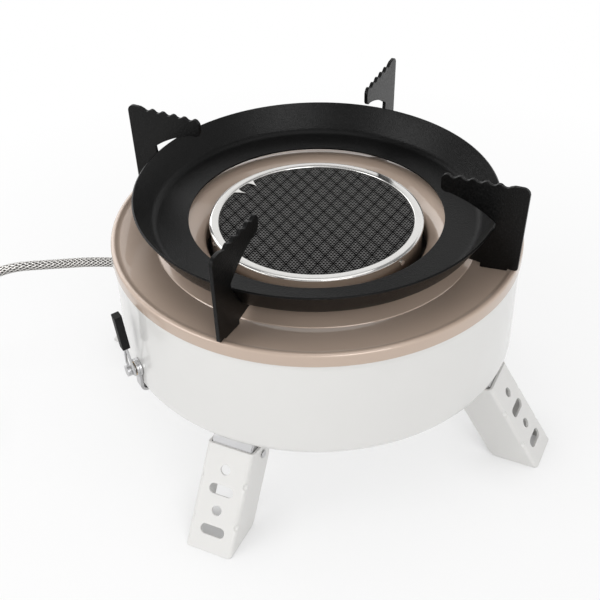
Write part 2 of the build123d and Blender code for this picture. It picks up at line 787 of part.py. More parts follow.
# Nuts on the pipe's two ends
with BuildPart() as pipe_nuts:
    for nut_plane in (Plane(origin=pipe_start, z_dir=-direction(inlet_azimuth)), Plane(origin=pipe_end)):
        with BuildSketch(nut_plane):
            RegularPolygon(pipe_nut_flat_half, 6, major_radius=False)
            Circle(pipe_radius + running_gap, mode=Mode.SUBTRACT)
        extrude(amount=pipe_nut_length)
finish(pipe_nuts.part, "pipe_nuts")

# Crimped ferrule where the hose leaves the inlet
with BuildPart() as hose_ferrule:
    with BuildSketch(spoke_plane(inlet_azimuth, inlet_face_reach, inlet_height)):
        Circle(hose_radius + running_gap + ferrule_wall)
    extrude(amount=ferrule_length)
finish(hose_ferrule.part, "hose_ferrule")

# Free stretch of the hose, from the ferrule down to the ground
hose_out = direction(inlet_azimuth)
hose_points = [hose_out * (body_radius + out) + tangent(inlet_azimuth) * aside + Vector(0, 0, height)
               for out, aside, height in [hose_start, *hose_route]]
hose_runs = [after - before for before, after in zip(hose_points, hose_points[1:])]
hose_radii = []
for run_in, run_out in zip(hose_runs, hose_runs[1:]):
    turn = radians(run_in.get_angle(run_out))
    hose_radii.append(hose_corner_share * min(run_in.length, run_out.length) / tan(turn / 2))
with BuildPart() as gas_hose:
    with BuildLine() as hose_path:
        FilletPolyline(*hose_points, radius=hose_radii)
    with BuildSketch(Plane(origin=hose_points[0], z_dir=hose_runs[0])):
        Circle(hose_radius)
    sweep(path=hose_path.wire())
finish(gas_hose.part, "gas_hose")
hose_section = pi * hose_radius**2
print("hose radii", [round(radius, 1) for radius in hose_radii])
print("hose length", round(hose_path.wire().length, 1), "volume over section times length",
      round(gas_hose.part.volume / (hose_section * hose_path.wire().length), 4))

# Coil of the spare length: half turns spiral in, climb a layer, and spiral out again
coil_pitch = hose_diameter + coil_gap
coil_heading = hose_runs[-1].normalized()
coil_inward = Vector(0, 0, 1).cross(coil_heading)
coil_radii = [coil_radius - coil_pitch / 2 * step for step in range(coil_half_turns_down + 1)]
coil_radii += [coil_radii[-1] + coil_pitch / 2 * (step + 1) for step in range(coil_half_turns_up)]
coil_start = hose_points[-1] + coil_heading * hose_diameter
coil_end = coil_start
with BuildPart() as hose_coil:
    with BuildLine() as coil_path:
        Line(hose_points[-1], coil_start)
        for step, half_turn_radius in enumerate(coil_radii):
            side = 1 if step % 2 == 0 else -1
            climb = Vector(0, 0, coil_pitch) if step == coil_half_turns_down else Vector(0, 0, 0)
            arc_end = coil_end + coil_inward * 2 * half_turn_radius * side + climb
            arc_middle = (coil_end + arc_end) / 2 + coil_heading * side * (arc_end - coil_end).length / 2
            ThreePointArc(coil_end, arc_middle, arc_end)
            coil_end = arc_end
        tail_start = coil_end + coil_heading * hose_diameter
        Line(coil_end, tail_start)
    with BuildSketch(Plane(origin=hose_points[-1], z_dir=coil_heading)):
        Circle(hose_radius)
    sweep(path=coil_path.wire())
finish(hose_coil.part, "hose_coil")

coil_length = coil_path.wire().length
samples = [coil_path.wire() @ (index / sample_count) for index in range(sample_count + 1)]
apart = int(pi * coil_radii[coil_half_turns_down] / coil_length * sample_count)
least_gap = min((samples[one] - samples[two]).length for one in range(sample_count + 1)
                for two in range(one + apart, sample_count + 1)) - hose_diameter
print("coil length", round(coil_length, 1), "least gap of the coil to itself", round(least_gap, 2),
      "volume over section times length", round(hose_coil.part.volume / (hose_section * coil_length), 4))

# Short straight tail of the hose with the crimped ferrule and union on its end
tail_plane = Plane(origin=tail_start, x_dir=coil_inward, z_dir=coil_heading)
with BuildPart() as hose_tail:
    with BuildSketch(tail_plane):
        Circle(hose_radius)
    extrude(amount=tail_length)
finish(hose_tail.part, "hose_tail")

tail_end_plane = tail_plane.offset(tail_length)
with BuildPart() as end_ferrule:
    with BuildSketch(tail_end_plane):
        Circle(hose_radius + ferrule_wall)
    extrude(amount=end_ferrule_length)
finish(end_ferrule.part, "end_ferrule")

cone_plane = tail_end_plane.offset(end_ferrule_length)
with BuildPart() as union_cone:
    with BuildSketch(cone_plane):
        Circle(union_cone_radius)
        Circle(union_pipe_radius, mode=Mode.SUBTRACT)
    extrude(amount=union_cone_length)
finish(union_cone.part, "union_cone")

union_start = cone_plane.offset(moving_gap)
with BuildPart() as union_nut:
    with BuildSketch(union_start):
        RegularPolygon(union_flat_half, 6, major_radius=False)
    extrude(amount=union_length)
    with BuildSketch(union_start):
        Circle(union_cone_radius + running_gap)
    extrude(amount=union_length, mode=Mode.SUBTRACT)
    with BuildSketch(union_start.offset(union_length - union_bore_depth)):
        Circle(union_bore_radius)
    extrude(amount=union_bore_depth, mode=Mode.SUBTRACT)
finish(union_nut.part, "union_nut")

# Windshield ring
with BuildPart() as windshield:
    with BuildSketch(Plane.XZ):
        with BuildLine():
            FilletPolyline((shield_hole_radius, shield_underside), (shield_foot_radius, shield_underside),
                           (shield_rim_radius, shield_underside + shield_height), radius=shield_bend_radius)
            offset(amount=shield_sheet, side=Side.LEFT)
        make_face()
    revolve(axis=Axis.Z)
finish(windshield.part, "windshield")

# Pan supports: foot on the cover, slot round the windshield, toothed arm on top
rim_height = shield_underside + shield_height
tip_low = cover_height + support_tip_low
tooth_low = cover_height + support_top - support_tooth_drop
land_point = (wave_end + support_land_run, cover_height + support_top - support_land_drop)
outer_top = (cover_radius + support_top_overhang, cover_height + support_top)
heel_point = (cover_radius + support_foot_overhang, cover_height + bead_height + moving_gap)
toe_radius = dish_radius - support_toe_gap
toe_point = (toe_radius, cover_height + moving_gap)
tip_point = (support_tip_radius, tip_low)
tip_top = (support_tip_radius, tooth_low - support_tooth_depth)
throat_point = (support_tip_radius + support_throat_start, tip_low)
throat_middle = (support_tip_radius + support_throat_middle, tip_low - support_throat_drop)
arm_radius = shield_foot_radius - support_arm_inset
rim_point = (shield_rim_radius + seat_gap, rim_height)
notch_point = (shield_rim_radius + support_notch_gap, rim_height + support_notch_rise)
step_radius = gutter_radius + support_step_run
step_height = cover_height - dish_slope * (dish_radius - step_radius) + moving_gap
rounded_corners = ((outer_top, support_corner_radius), (heel_point, support_heel_radius),
                   (tip_point, support_tip_round), (tip_top, support_tip_edge))


def wave_point(quarter, lift):
    """Point of the toothed edge: quarters of a tooth along it, and lift off its sloping middle line."""
    step = support_tooth_pitch / 4
    climb = support_tooth_climb / (4 * support_tooth_count)
    return (wave_start + step * quarter, tooth_low + climb * quarter + lift)


for name, azimuth in support_azimuths.items():
    with BuildPart() as pan_support:
        with BuildSketch(radial_plane(azimuth)) as outline:
            with BuildLine():
                FilletPolyline((arm_radius, shield_underside - seat_gap),
                               (shield_foot_radius, shield_underside - seat_gap), rim_point,
                               radius=shield_bend_radius)
                Line(rim_point, notch_point)
                ThreePointArc(notch_point, throat_middle, throat_point)
                Polyline(throat_point, tip_point, tip_top, wave_point(0, 0))
                for half in range(2 * support_tooth_count):
                    lift = support_tooth_depth / 2 if half % 2 == 0 else -support_tooth_depth / 2
                    ThreePointArc(wave_point(2 * half, 0), wave_point(2 * half + 1, lift),
                                  wave_point(2 * half + 2, 0))
                Polyline(
                    wave_point(4 * support_tooth_count, 0),
                    land_point,
                    outer_top,
                    heel_point,
                    (toe_radius + support_toe_flank, cover_height + bead_height + moving_gap),
                    toe_point,
                    (step_radius, step_height),
                    (step_radius, step_height + support_step_rise),
                    (arm_radius, cover_height + crown_height + moving_gap),
                    (arm_radius, shield_underside - seat_gap),
                )
            make_face()
            for corner, round_radius in rounded_corners:
                fillet(outline.vertices().sort_by_distance((*corner, 0))[0], radius=round_radius)
        extrude(amount=support_sheet / 2, both=True)
    finish(pan_support.part, f"pan_support_{name}")

# Folding legs: a channel cut to its side outline, with holes, slots and corner dimples
pin_point = leg_point(leg_pin_place, leg_pin_depth)
foot_back = leg_point(leg_depth * tan(radians(leg_lean)), leg_depth)
rear_top = leg_point(leg_pin_place + leg_rear_rise, leg_depth)
dimple_reach = (leg_bend_radius + dimple_radius - dimple_depth) / sqrt(2)
dimple_places = [leg_hole_start + leg_hole_pitch * (pair + 1 / 2) for pair in (0, 2)]
for name, azimuth in leg_azimuths.items():
    outward = direction(azimuth)
    leg_up = Vector(0, 0, 1) * cos(radians(leg_lean)) - outward * sin(radians(leg_lean))
    face_out = outward * cos(radians(leg_lean)) + Vector(0, 0, 1) * sin(radians(leg_lean))
    channel_plane = Plane(origin=outward * foot_radius, x_dir=tangent(azimuth), z_dir=leg_up)
    face_plane = Plane(origin=outward * foot_radius, x_dir=tangent(azimuth), z_dir=face_out)
    with BuildPart() as leg:
        with BuildSketch(channel_plane):
            with BuildLine():
                FilletPolyline((-leg_half, leg_depth), (-leg_half, 0), (leg_half, 0), (leg_half, leg_depth),
                               radius=leg_bend_radius)
                offset(amount=leg_sheet, side=Side.LEFT)
            make_face()
        extrude(amount=leg_length + leg_depth)
        with BuildSketch(radial_plane(azimuth)) as side_outline:
            with BuildLine():
                Polyline((foot_radius + cut_overrun, 0), foot_back, rear_top, leg_point(leg_length, 0),
                         leg_point(leg_length, -cut_overrun), close=True)
            make_face()
            for corner, round_radius in ((foot_back, leg_foot_corner), (rear_top, leg_top_corner)):
                fillet(side_outline.vertices().sort_by_distance((*corner, 0))[0], radius=round_radius)
        extrude(amount=leg_half + cut_overrun, both=True, mode=Mode.INTERSECT)
        with BuildSketch(face_plane):
            for step in range(leg_hole_count):
                with Locations((0, leg_hole_start + leg_hole_pitch * step)):
                    if step % 2 == 0:
                        SlotOverall(leg_slot_length, 2 * leg_hole_radius)
                    else:
                        Circle(leg_hole_radius)
        extrude(amount=-leg_sheet - cut_overrun, mode=Mode.SUBTRACT)
        with BuildSketch(radial_plane(azimuth)):
            with Locations(pin_point):
                Circle(leg_pin_radius + running_gap)
        extrude(amount=leg_half + cut_overrun, both=True, mode=Mode.SUBTRACT)
        for side in (-1, 1):
            for place in dimple_places:
                dimple_spot = Vector((leg_half - leg_bend_radius + dimple_reach) * side, place,
                                     dimple_reach - leg_bend_radius)
                with Locations(face_plane.from_local_coords(dimple_spot)):
                    Sphere(dimple_radius, mode=Mode.SUBTRACT)
    finish(leg.part, f"leg_{name}")

# Leg brackets: a plate under the body with two ears inside each leg and a front lip that stops the leg
ear_outer = leg_half - leg_sheet - moving_gap
ear_depth = leg_bend_radius + moving_gap
lip_half = leg_half - leg_bend_radius - moving_gap
ear_front = under_body(ear_depth)
for name, azimuth in leg_azimuths.items():
    with BuildPart() as leg_bracket:
        with BuildSketch(Plane(origin=(0, 0, body_underside), x_dir=direction(azimuth))):
            with Locations(((bracket_rear + ear_front[0]) / 2, 0)):
                Rectangle(ear_front[0] - bracket_rear, 2 * ear_outer)
        extrude(amount=-bracket_sheet)
        for ear_start in (-ear_outer, ear_outer - bracket_sheet):
            with BuildSketch(radial_plane(azimuth).offset(ear_start)):
                with Locations(pin_point):
                    Circle(bracket_end_radius)
                with BuildLine():
                    Polyline((bracket_rear, body_underside), ear_front, leg_point(leg_pin_place, ear_depth),
                             close=True)
                make_hull()
            extrude(amount=bracket_sheet)
        with BuildSketch(radial_plane(azimuth)):
            with BuildLine():
                FilletPolyline(leg_point(leg_pin_place, leg_stop_depth), bracket_front,
                               (bracket_rear, body_underside), radius=bracket_sheet)
                offset(amount=bracket_sheet, side=Side.LEFT)
            make_face()
        extrude(amount=lip_half, both=True)
        with BuildSketch(radial_plane(azimuth)):
            with Locations(pin_point):
                Circle(leg_pin_radius + running_gap)
        extrude(amount=leg_half, both=True, mode=Mode.SUBTRACT)
        with BuildSketch(level_plane(body_underside)):
            with Locations(*[spot for spot in rivet_spots if spot.dot(direction(azimuth)) > 0]):
                Circle(bracket_rivet_radius + running_gap)
        extrude(amount=-bracket_sheet, mode=Mode.SUBTRACT)
    finish(leg_bracket.part, f"leg_bracket_{name}")

# Pins that the legs turn on
with BuildPart() as leg_pins:
    for azimuth in leg_azimuths.values():
        with BuildSketch(radial_plane(azimuth)):
            with Locations(pin_point):
                Circle(leg_pin_radius)
        extrude(amount=leg_half + moving_gap, both=True)
        for side in (-1, 1):
            with BuildSketch(radial_plane(azimuth).offset(side * (leg_half + moving_gap))):
                with Locations(pin_point):
                    Circle(leg_pin_head_radius)
            extrude(amount=side * leg_pin_head_height)
finish(leg_pins.part, "leg_pins")

# Rivets that hold the brackets to the body's floor
with BuildPart() as bracket_rivets:
    with BuildSketch(level_plane(body_underside - bracket_sheet)):
        with Locations(*rivet_spots):
            Circle(bracket_rivet_radius)
    extrude(amount=bracket_sheet + body_wall)
    for head_height, head_rise in ((body_underside - bracket_sheet, -bracket_rivet_head_height),
                                   (body_floor, bracket_rivet_head_height)):
        with BuildSketch(level_plane(head_height)):
            with Locations(*rivet_spots):
                Circle(bracket_rivet_head_radius)
        extrude(amount=head_rise)
finish(bracket_rivets.part, "bracket_rivets")
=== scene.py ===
# %% [markdown]
# # A portable gas stove
# The real object is a round gas burner with a windshield, four pan supports and four folding legs. Its solids
# were built in CAD, and they are loaded here as a fixed frame. Everything after this cell gives those solids
# a finish, or puts a finer mesh in the place of one, in the same frame and in metres.

# %% Load the frame
import json
from math import cos, pi, radians, sin

import bmesh
import bpy
from mathutils import Matrix, Vector


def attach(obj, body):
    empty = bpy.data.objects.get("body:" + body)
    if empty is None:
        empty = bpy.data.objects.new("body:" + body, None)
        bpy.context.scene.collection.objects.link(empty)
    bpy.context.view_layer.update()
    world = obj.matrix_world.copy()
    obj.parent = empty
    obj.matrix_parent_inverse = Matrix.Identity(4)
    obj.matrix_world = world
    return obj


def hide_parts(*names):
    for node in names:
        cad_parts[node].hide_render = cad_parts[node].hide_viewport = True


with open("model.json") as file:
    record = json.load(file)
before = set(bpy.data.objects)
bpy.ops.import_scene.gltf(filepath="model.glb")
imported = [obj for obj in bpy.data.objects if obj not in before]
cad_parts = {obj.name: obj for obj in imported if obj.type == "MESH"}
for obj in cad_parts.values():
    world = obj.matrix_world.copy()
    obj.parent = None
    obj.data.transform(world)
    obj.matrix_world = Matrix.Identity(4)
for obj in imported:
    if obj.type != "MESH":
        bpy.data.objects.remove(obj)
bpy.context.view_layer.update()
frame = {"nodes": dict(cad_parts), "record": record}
scene = bpy.context.scene
MM = 0.001
record = frame["record"]
body_of_node = {node: body for body, nodes in record["behaviour"]["bodies"].items() for node in nodes}
slot_of_node = {part["node"]: part["material_slot"] for part in record["subparts"]}

# %% [markdown]
# ## Camera
# The camera stands where the photograph was taken: in front of the stove, a little to its right, looking
# down. It could be turned by three angles, but their order is easy to mix up. Here its right, up and back are
# written as directions and become the columns of a rotation matrix, which leaves no doubt.

# %% Camera
camera_place = (0.22156, -0.48393, 0.48114)
camera_right = Vector((0.90643, 0.42196, -0.01815))
camera_up = Vector((-0.24412, 0.55851, 0.79276))
camera_back = camera_right.cross(camera_up).normalized()
camera_data = bpy.data.cameras.new("photo_camera")
camera_data.lens = 64.56
camera_data.sensor_width = 36.0
camera_data.sensor_fit = "HORIZONTAL"
camera_data.clip_start = 0.01
camera = bpy.data.objects.new("photo_camera", camera_data)
scene.collection.objects.link(camera)
turn = Matrix((camera_right, camera_up, camera_back)).transposed().to_4x4()
camera.matrix_world = Matrix.Translation(camera_place) @ turn
scene.camera = camera
print("camera at", [round(c, 3) for c in camera.location])

# %% [markdown]
# ## Node trees
# World, floor and finishes are all node trees, and they need the same few moves: add a node with its values,
# do a sum on two outputs, stretch a value to another range, or choose between two shaders. They could be
# written out each time, but as helpers they keep the later cells short.


# %% Helpers for node trees
def add_node(tree, kind, **values):
    """A new node with some of its settings and unlinked inputs filled in."""
    node = tree.nodes.new(kind)
    for key, value in values.items():
        if key in node.inputs:
            node.inputs[key].default_value = value
        else:
            setattr(node, key, value)
    return node


def calculate(tree, operation, first, second):
    """The result of a sum on the outputs of two nodes."""
    node = add_node(tree, "ShaderNodeMath", operation=operation)
    tree.links.new(first, node.inputs[0])
    tree.links.new(second, node.inputs[1])
    return node.outputs[0]


def stretch(tree, value, first, last, low=0.0, high=1.0):
    """A node that takes a value from one range to another and stops at its ends."""
    limits = {"From Min": first, "From Max": last, "To Min": low, "To Max": high}
    node = add_node(tree, "ShaderNodeMapRange", **limits)
    tree.links.new(value, node.inputs["Value"])
    return node


def choose(tree, mask, first, second):
    """The first shader where the mask is 0 and the second where it is 1."""
    node = add_node(tree, "ShaderNodeMixShader")
    for number, source in enumerate((mask, first, second)):
        tree.links.new(source, node.inputs[number])
    return node.outputs[0]


# %% [markdown]
# ## World
# The world is the room that lights the stove. A picture of a studio could be wrapped round the scene, but plain
# backgrounds are enough. The object gets a low, even light, so colours come out as they are written, and the
# camera sees white. Gloss sees white walls with a darker ceiling above them, because a glossy coat with
# nothing dark to reflect looks like matt paint.

# %% World
WHITE = (1, 1, 1, 1)
even_strength = 0.5
wall_strength = 1.0
ceiling_strength = 0.3
wall_top, ceiling_edge = 0.6, 0.62
world = bpy.data.worlds.new("studio")
world.use_nodes = True
scene.world = world
sky = world.node_tree
sky.nodes.clear()
even_light = add_node(sky, "ShaderNodeBackground", Color=WHITE, Strength=even_strength)
white_view = add_node(sky, "ShaderNodeBackground", Color=WHITE, Strength=1.0)
reflected = add_node(sky, "ShaderNodeBackground", Color=WHITE)
ray = add_node(sky, "ShaderNodeTexCoord")
ray_parts = add_node(sky, "ShaderNodeSeparateXYZ")
sky.links.new(ray.outputs["Generated"], ray_parts.inputs[0])
room = stretch(sky, ray_parts.outputs["Z"], wall_top, ceiling_edge, wall_strength, ceiling_strength)
sky.links.new(room.outputs["Result"], reflected.inputs["Strength"])
rays = add_node(sky, "ShaderNodeLightPath").outputs
by_gloss = choose(sky, rays["Is Glossy Ray"], even_light.outputs[0], reflected.outputs[0])
plain_view = calculate(sky, "MAXIMUM", rays["Is Camera Ray"], rays["Is Transmission Ray"])
by_view = choose(sky, plain_view, by_gloss, white_view.outputs[0])
sky_out = add_node(sky, "ShaderNodeOutputWorld")
sky.links.new(by_view, sky_out.inputs[0])
scene.view_settings.view_transform = "Standard"
print("world nodes", len(sky.nodes))

# %% [markdown]
# ## Floor
# The stove stands on a pale floor that runs into the white of the world. A plain white floor turns grey
# where the lamps fade, so this one is matt with a white glow over it. The glow grows with the distance from
# the stove, and it gives way where something stands close to the floor, so the shadow under the stove stays.

# %% Floor
floor_half = 4.0
floor_drop = 0.3 * MM
floor_build = bmesh.new()
bmesh.ops.create_grid(floor_build, x_segments=1, y_segments=1, size=floor_half)
bmesh.ops.translate(floor_build, verts=floor_build.verts, vec=(0, 0, -floor_drop))
floor_mesh = bpy.data.meshes.new("floor")
floor_build.to_mesh(floor_mesh)
floor_build.free()
floor = bpy.data.objects.new("floor", floor_mesh)
scene.collection.objects.link(floor)
print("floor size", [round(size, 2) for size in floor.dimensions])


# %% Glow of the floor
def seen_directly(tree):
    """A mask that is 1 for rays from the camera, from reflections and through glass."""
    rays = add_node(tree, "ShaderNodeLightPath").outputs
    both = calculate(tree, "MAXIMUM", rays["Is Camera Ray"], rays["Is Glossy Ray"])
    return calculate(tree, "MAXIMUM", both, rays["Is Transmission Ray"])


close_by = 0.03
near, far = 0.12, 0.45
near_glow, far_glow = 0.72, 1.0
floor_finish = bpy.data.materials.new("floor")
floor_finish.use_nodes = True
tree = floor_finish.node_tree
tree.nodes.clear()
matt = add_node(tree, "ShaderNodeBsdfDiffuse", Color=(0.82, 0.82, 0.82, 1))
glow = add_node(tree, "ShaderNodeEmission", Color=WHITE, Strength=1.0)
openness = add_node(tree, "ShaderNodeAmbientOcclusion", samples=8, Distance=close_by)
coords = add_node(tree, "ShaderNodeTexCoord")
distance = add_node(tree, "ShaderNodeVectorMath", operation="LENGTH")
tree.links.new(coords.outputs["Object"], distance.inputs[0])
fade = stretch(tree, distance.outputs["Value"], near, far, near_glow, far_glow)
glow_share = stretch(tree, openness.outputs["AO"], 0.0, 1.0)
tree.links.new(fade.outputs["Result"], glow_share.inputs["To Max"])
seen_glow = calculate(tree, "MULTIPLY", seen_directly(tree), glow_share.outputs["Result"])
floor_out = add_node(tree, "ShaderNodeOutputMaterial")
tree.links.new(choose(tree, seen_glow, matt.outputs[0], glow.outputs[0]), floor_out.inputs[0])
floor_mesh.materials.append(floor_finish)
print("floor nodes", len(tree.nodes))

# %% [markdown]
# ## Lamps
# Small lamps would give hard shadows and hard glints. Large rectangular ones, as in a studio, give soft
# shadows, and each shows as a broad bright patch in the glossy coats.


# %% Lamps
def soft_lamp(name, place, aim, width, height, power):
    """A rectangular lamp that looks at a point."""
    data = bpy.data.lights.new(name, "AREA")
    data.shape = "RECTANGLE"
    data.size, data.size_y, data.energy = width, height, power
    lamp = bpy.data.objects.new(name, data)
    scene.collection.objects.link(lamp)
    lamp.location = place
    lamp.rotation_euler = (Vector(aim) - Vector(place)).to_track_quat("-Z", "Y").to_euler()


burner_height = (0, 0, 0.1)
soft_lamp("overhead", (0.1, 0.1, 1.5), burner_height, width=1.3, height=1.0, power=4.0)
soft_lamp("back_left", (-1.4, 0.79, 1.2), (0, 0, 1.2), width=1.2, height=1.7, power=9.0)
soft_lamp("left_front", (-1.0, -1.0, 1.0), burner_height, width=0.9, height=0.9, power=8.5)
soft_lamp("right_front", (1.1, -1.1, 1.0), burner_height, width=0.9, height=0.9, power=10.5)

# %% [markdown]
# ## Gas hose
# The hose is one length of braided steel tube. It leaves the body level, hangs to the ground and ends in a
# small coil with its union. It could be a chain of bent cylinders, but a smooth spline that follows the route's
# points bends as a real hose does. A bevel round that line gives the tube, with a map that runs along it, which
# the braid needs.

# %% Route of the hose
hose_radius = 3.0 * MM
inlet_azimuth = radians(200.0)
outwards = Vector((cos(inlet_azimuth), sin(inlet_azimuth), 0))
sideways = Vector((-sin(inlet_azimuth), cos(inlet_azimuth), 0))
hose_route = [  # out from the middle, aside and up, in mm
    (126.2, 0.0, 95.4), (139.0, 0.0, 95.4), (163.0, 0.0, 92.4), (200.0, 0.0, 88.0), (229.0, 0.0, 65.0),
    (241.0, 0.0, 34.0), (257.0, 6.0, 11.0), (277.0, 27.0, 3.0), (285.5, 56.0, 3.0),
]
hose_points = [(outwards * out + sideways * aside) * MM + Vector((0, 0, height * MM))
               for out, aside, height in hose_route]
heading = (hose_points[-1] - hose_points[-2]).normalized()
inward = Vector((0, 0, 1)).cross(heading)
print("points of the hanging run", len(hose_points))

# %% Turns of the coil and the tail
half_turn_radii = [36.0, 32.75, 29.5, 26.25, 29.5, 32.75]
climbing_turn = 3
layer_rise = 6.5 * MM
points_per_half = 8
outset = 1 / cos(pi / points_per_half / 2)
straight_run = 6.0 * MM
tail_bend = 10.0 * MM
tail_length = 34.0 * MM
place = hose_points[-1] + heading * straight_run
for number, radius in enumerate(half_turn_radii):
    hand = 1 if number % 2 == 0 else -1
    reach = radius * MM
    centre = place + inward * hand * reach
    climb = layer_rise if number == climbing_turn else 0.0
    for step in range(points_per_half):
        angle = pi * (step + 0.5) / points_per_half
        swing = -inward * cos(angle) * hand + heading * sin(angle) * hand
        rise = Vector((0, 0, climb * (1 - cos(angle)) / 2))
        hose_points.append(centre + swing * reach * outset + rise)
    place = centre + inward * hand * reach + Vector((0, 0, climb))
tail_start = place + heading * straight_run
hose_end = tail_start + heading * tail_length
hose_points += [place + heading * straight_run / 2, tail_start + heading * tail_bend, hose_end]
print("points of the whole hose", len(hose_points))

# %% Tube of the hose
hose_curve = bpy.data.curves.new("hose_line", "CURVE")
hose_curve.dimensions = "3D"
hose_curve.resolution_u = 8
spline = hose_curve.splines.new("NURBS")
spline.points.add(len(hose_points) - 1)
for point, control in zip(hose_points, spline.points):
    control.co = (*point, 1.0)
spline.order_u = 3
spline.use_endpoint_u = True
hose_line = bpy.data.objects.new("hose_line", hose_curve)
scene.collection.objects.link(hose_line)
centre_line = bpy.data.meshes.new_from_object(hose_line)
hose_path = [vertex.co.copy() for vertex in centre_line.vertices]
hose_curve.bevel_depth = hose_radius
hose_curve.bevel_resolution = 6
hose_curve.use_fill_caps = True
bpy.context.view_layer.update()
hose_mesh = bpy.data.meshes.new_from_object(hose_line.evaluated_get(bpy.context.evaluated_depsgraph_get()))
bpy.data.objects.remove(hose_line)
hose_length = sum((after - before).length for before, after in zip(hose_path, hose_path[1:]))
hose = bpy.data.objects.new("braided_hose", hose_mesh)
scene.collection.objects.link(hose)
hose_mesh.shade_smooth()
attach(hose, "stove")
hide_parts("gas_hose", "hose_coil", "hose_tail")
print("hose length", round(hose_length, 4), "points", len(hose_path))

# %% [markdown]
# ## Ceramic burner plate
# The plate is a field of diamond pads between crossed grooves, and every pad has sixteen fine holes. One cell
# is made with operators: a square is sheared to a diamond, inset for the groove, raised for the pad, divided
# into tiles and inset again, and the inner faces are pushed down into holes. Copies of it fill the circle.
# Cutting the holes with a boolean would give the same shape, but thousands of cuts are slow and leave thin
# slivers, while copies of one clean cell stay light.


# %% Helpers for builds and pieces
def verts_of(geometry):
    """The vertices in what an operator gives back."""
    return [part for part in geometry if isinstance(part, bmesh.types.BMVert)]


sharp_angle = radians(32.0)


def new_piece(build, name, node):
    """Close a build, shade it, and let the piece stand in for a solid."""
    mesh = bpy.data.meshes.new(name)
    build.to_mesh(mesh)
    build.free()
    mesh.shade_smooth()
    mesh.set_sharp_from_angle(angle=sharp_angle)
    piece = bpy.data.objects.new(name, mesh)
    scene.collection.objects.link(piece)
    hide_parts(node)
    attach(piece, body_of_node[node])
    return piece


# %% Pad of one cell
groove_azimuths = (radians(85), radians(145))
groove_spacing = 7.6 * MM
groove_depth = 1.2 * MM
half_groove = 0.46 * MM
cell_edge = groove_spacing / sin(radians(60))
first_edge, second_edge = (Vector((cos(azimuth), sin(azimuth), 0)) for azimuth in groove_azimuths)
shear = Matrix((first_edge, second_edge, Vector((0, 0, 1)))).transposed().to_4x4()
cell = bmesh.new()
bmesh.ops.create_grid(cell, x_segments=1, y_segments=1, size=cell_edge / 2)
bmesh.ops.transform(cell, matrix=shear, verts=cell.verts)
pad = cell.faces[:]
bmesh.ops.inset_individual(cell, faces=pad, thickness=half_groove, use_even_offset=True)
raised = bmesh.ops.extrude_discrete_faces(cell, faces=pad)["faces"]
bmesh.ops.translate(cell, verts=raised[0].verts, vec=(0, 0, groove_depth))
print("cell edge in mm", round(cell_edge / MM, 2), "faces", len(cell.faces))

# %% Holes of one cell
holes_across = 4
half_web = 0.14 * MM
hole_corners = 6
hole_depth = 4.0 * MM
plate_top = 132.5 * MM
just_under_pad = 0.99 * groove_depth
nearly_level = 0.9
bmesh.ops.subdivide_edges(cell, edges=raised[0].edges[:], cuts=holes_across - 1, use_grid_fill=True)
tiles = [face for face in cell.faces if face.calc_center_median().z > just_under_pad]
bmesh.ops.inset_individual(cell, faces=tiles, thickness=half_web, use_even_offset=True)
sharp_corners = [loop.vert for face in tiles for loop in face.loops if loop.calc_angle() < radians(90)]
bmesh.ops.bevel(cell, geom=sharp_corners, offset=50.0, offset_type="PERCENT", affect="VERTICES", segments=1,
                profile=0.5, material=-1)
holes = [face for face in cell.faces if len(face.verts) == hole_corners and face.normal.z > nearly_level]
floors = bmesh.ops.extrude_discrete_faces(cell, faces=holes)["faces"]
bmesh.ops.translate(cell, verts=[vert for face in floors for vert in face.verts], vec=(0, 0, -hole_depth))
bmesh.ops.translate(cell, verts=cell.verts, vec=(0, 0, plate_top - groove_depth))
cell_mesh = bpy.data.meshes.new("plate_cell")
cell.to_mesh(cell_mesh)
cell.free()
print("holes in a cell", len(floors), "faces in a cell", len(cell_mesh.polygons))

# %% Fill the circle with cells
plate_radius = 59.9 * MM
bare_margin = 1.5 * MM
cells_each_way = range(-9, 9)
plate = bmesh.new()
for along in cells_each_way:
    for across in cells_each_way:
        middle = (first_edge * (along + 0.5) + second_edge * (across + 0.5)) * cell_edge
        if middle.length < plate_radius + cell_edge / 2:
            before = len(plate.verts)
            plate.from_mesh(cell_mesh)
            plate.verts.ensure_lookup_table()
            bmesh.ops.translate(plate, verts=plate.verts[before:], vec=middle)
outside = [face for face in plate.faces
           if face.calc_center_median().xy.length > plate_radius - bare_margin]
bmesh.ops.delete(plate, geom=outside, context="FACES")
print("faces in the circle", len(plate.faces))

# %% Rim, side and underside of the plate
plate_thickness = 13.0 * MM
margin_scale = 0.957
rim = bmesh.ops.create_circle(plate, cap_ends=False, segments=128, radius=plate_radius)["verts"]
bmesh.ops.translate(plate, verts=rim, vec=(0, 0, plate_top))
rim_edges = list({edge for vert in rim for edge in vert.link_edges})
margin = bmesh.ops.extrude_edge_only(plate, edges=rim_edges)["geom"]
bmesh.ops.scale(plate, verts=verts_of(margin), vec=(margin_scale, margin_scale, 1))
wall = bmesh.ops.extrude_edge_only(plate, edges=rim_edges)["geom"]
bmesh.ops.translate(plate, verts=verts_of(wall), vec=(0, 0, -plate_thickness))
bmesh.ops.contextual_create(plate, geom=[part for part in wall if isinstance(part, bmesh.types.BMEdge)
                                         and len(part.link_faces) == 1])
bmesh.ops.recalc_face_normals(plate, faces=plate.faces)
pieces = {"burner_plate": new_piece(plate, "burner_plate_piece", "burner_plate")}
print("plate faces", len(pieces["burner_plate"].data.polygons))

# %% [markdown]
# ## Polished ring
# The ring that holds the plate down is a turned part. It could be a bevelled torus, but a turned part is made
# most plainly as on a lathe: its section is drawn once as a line of points, the points are rounded, and the
# line is spun about the axis. Two thorn-shaped tongues reach over the plate.


# %% Helper that turns a section on the axis
seam_distance = 0.001 * MM


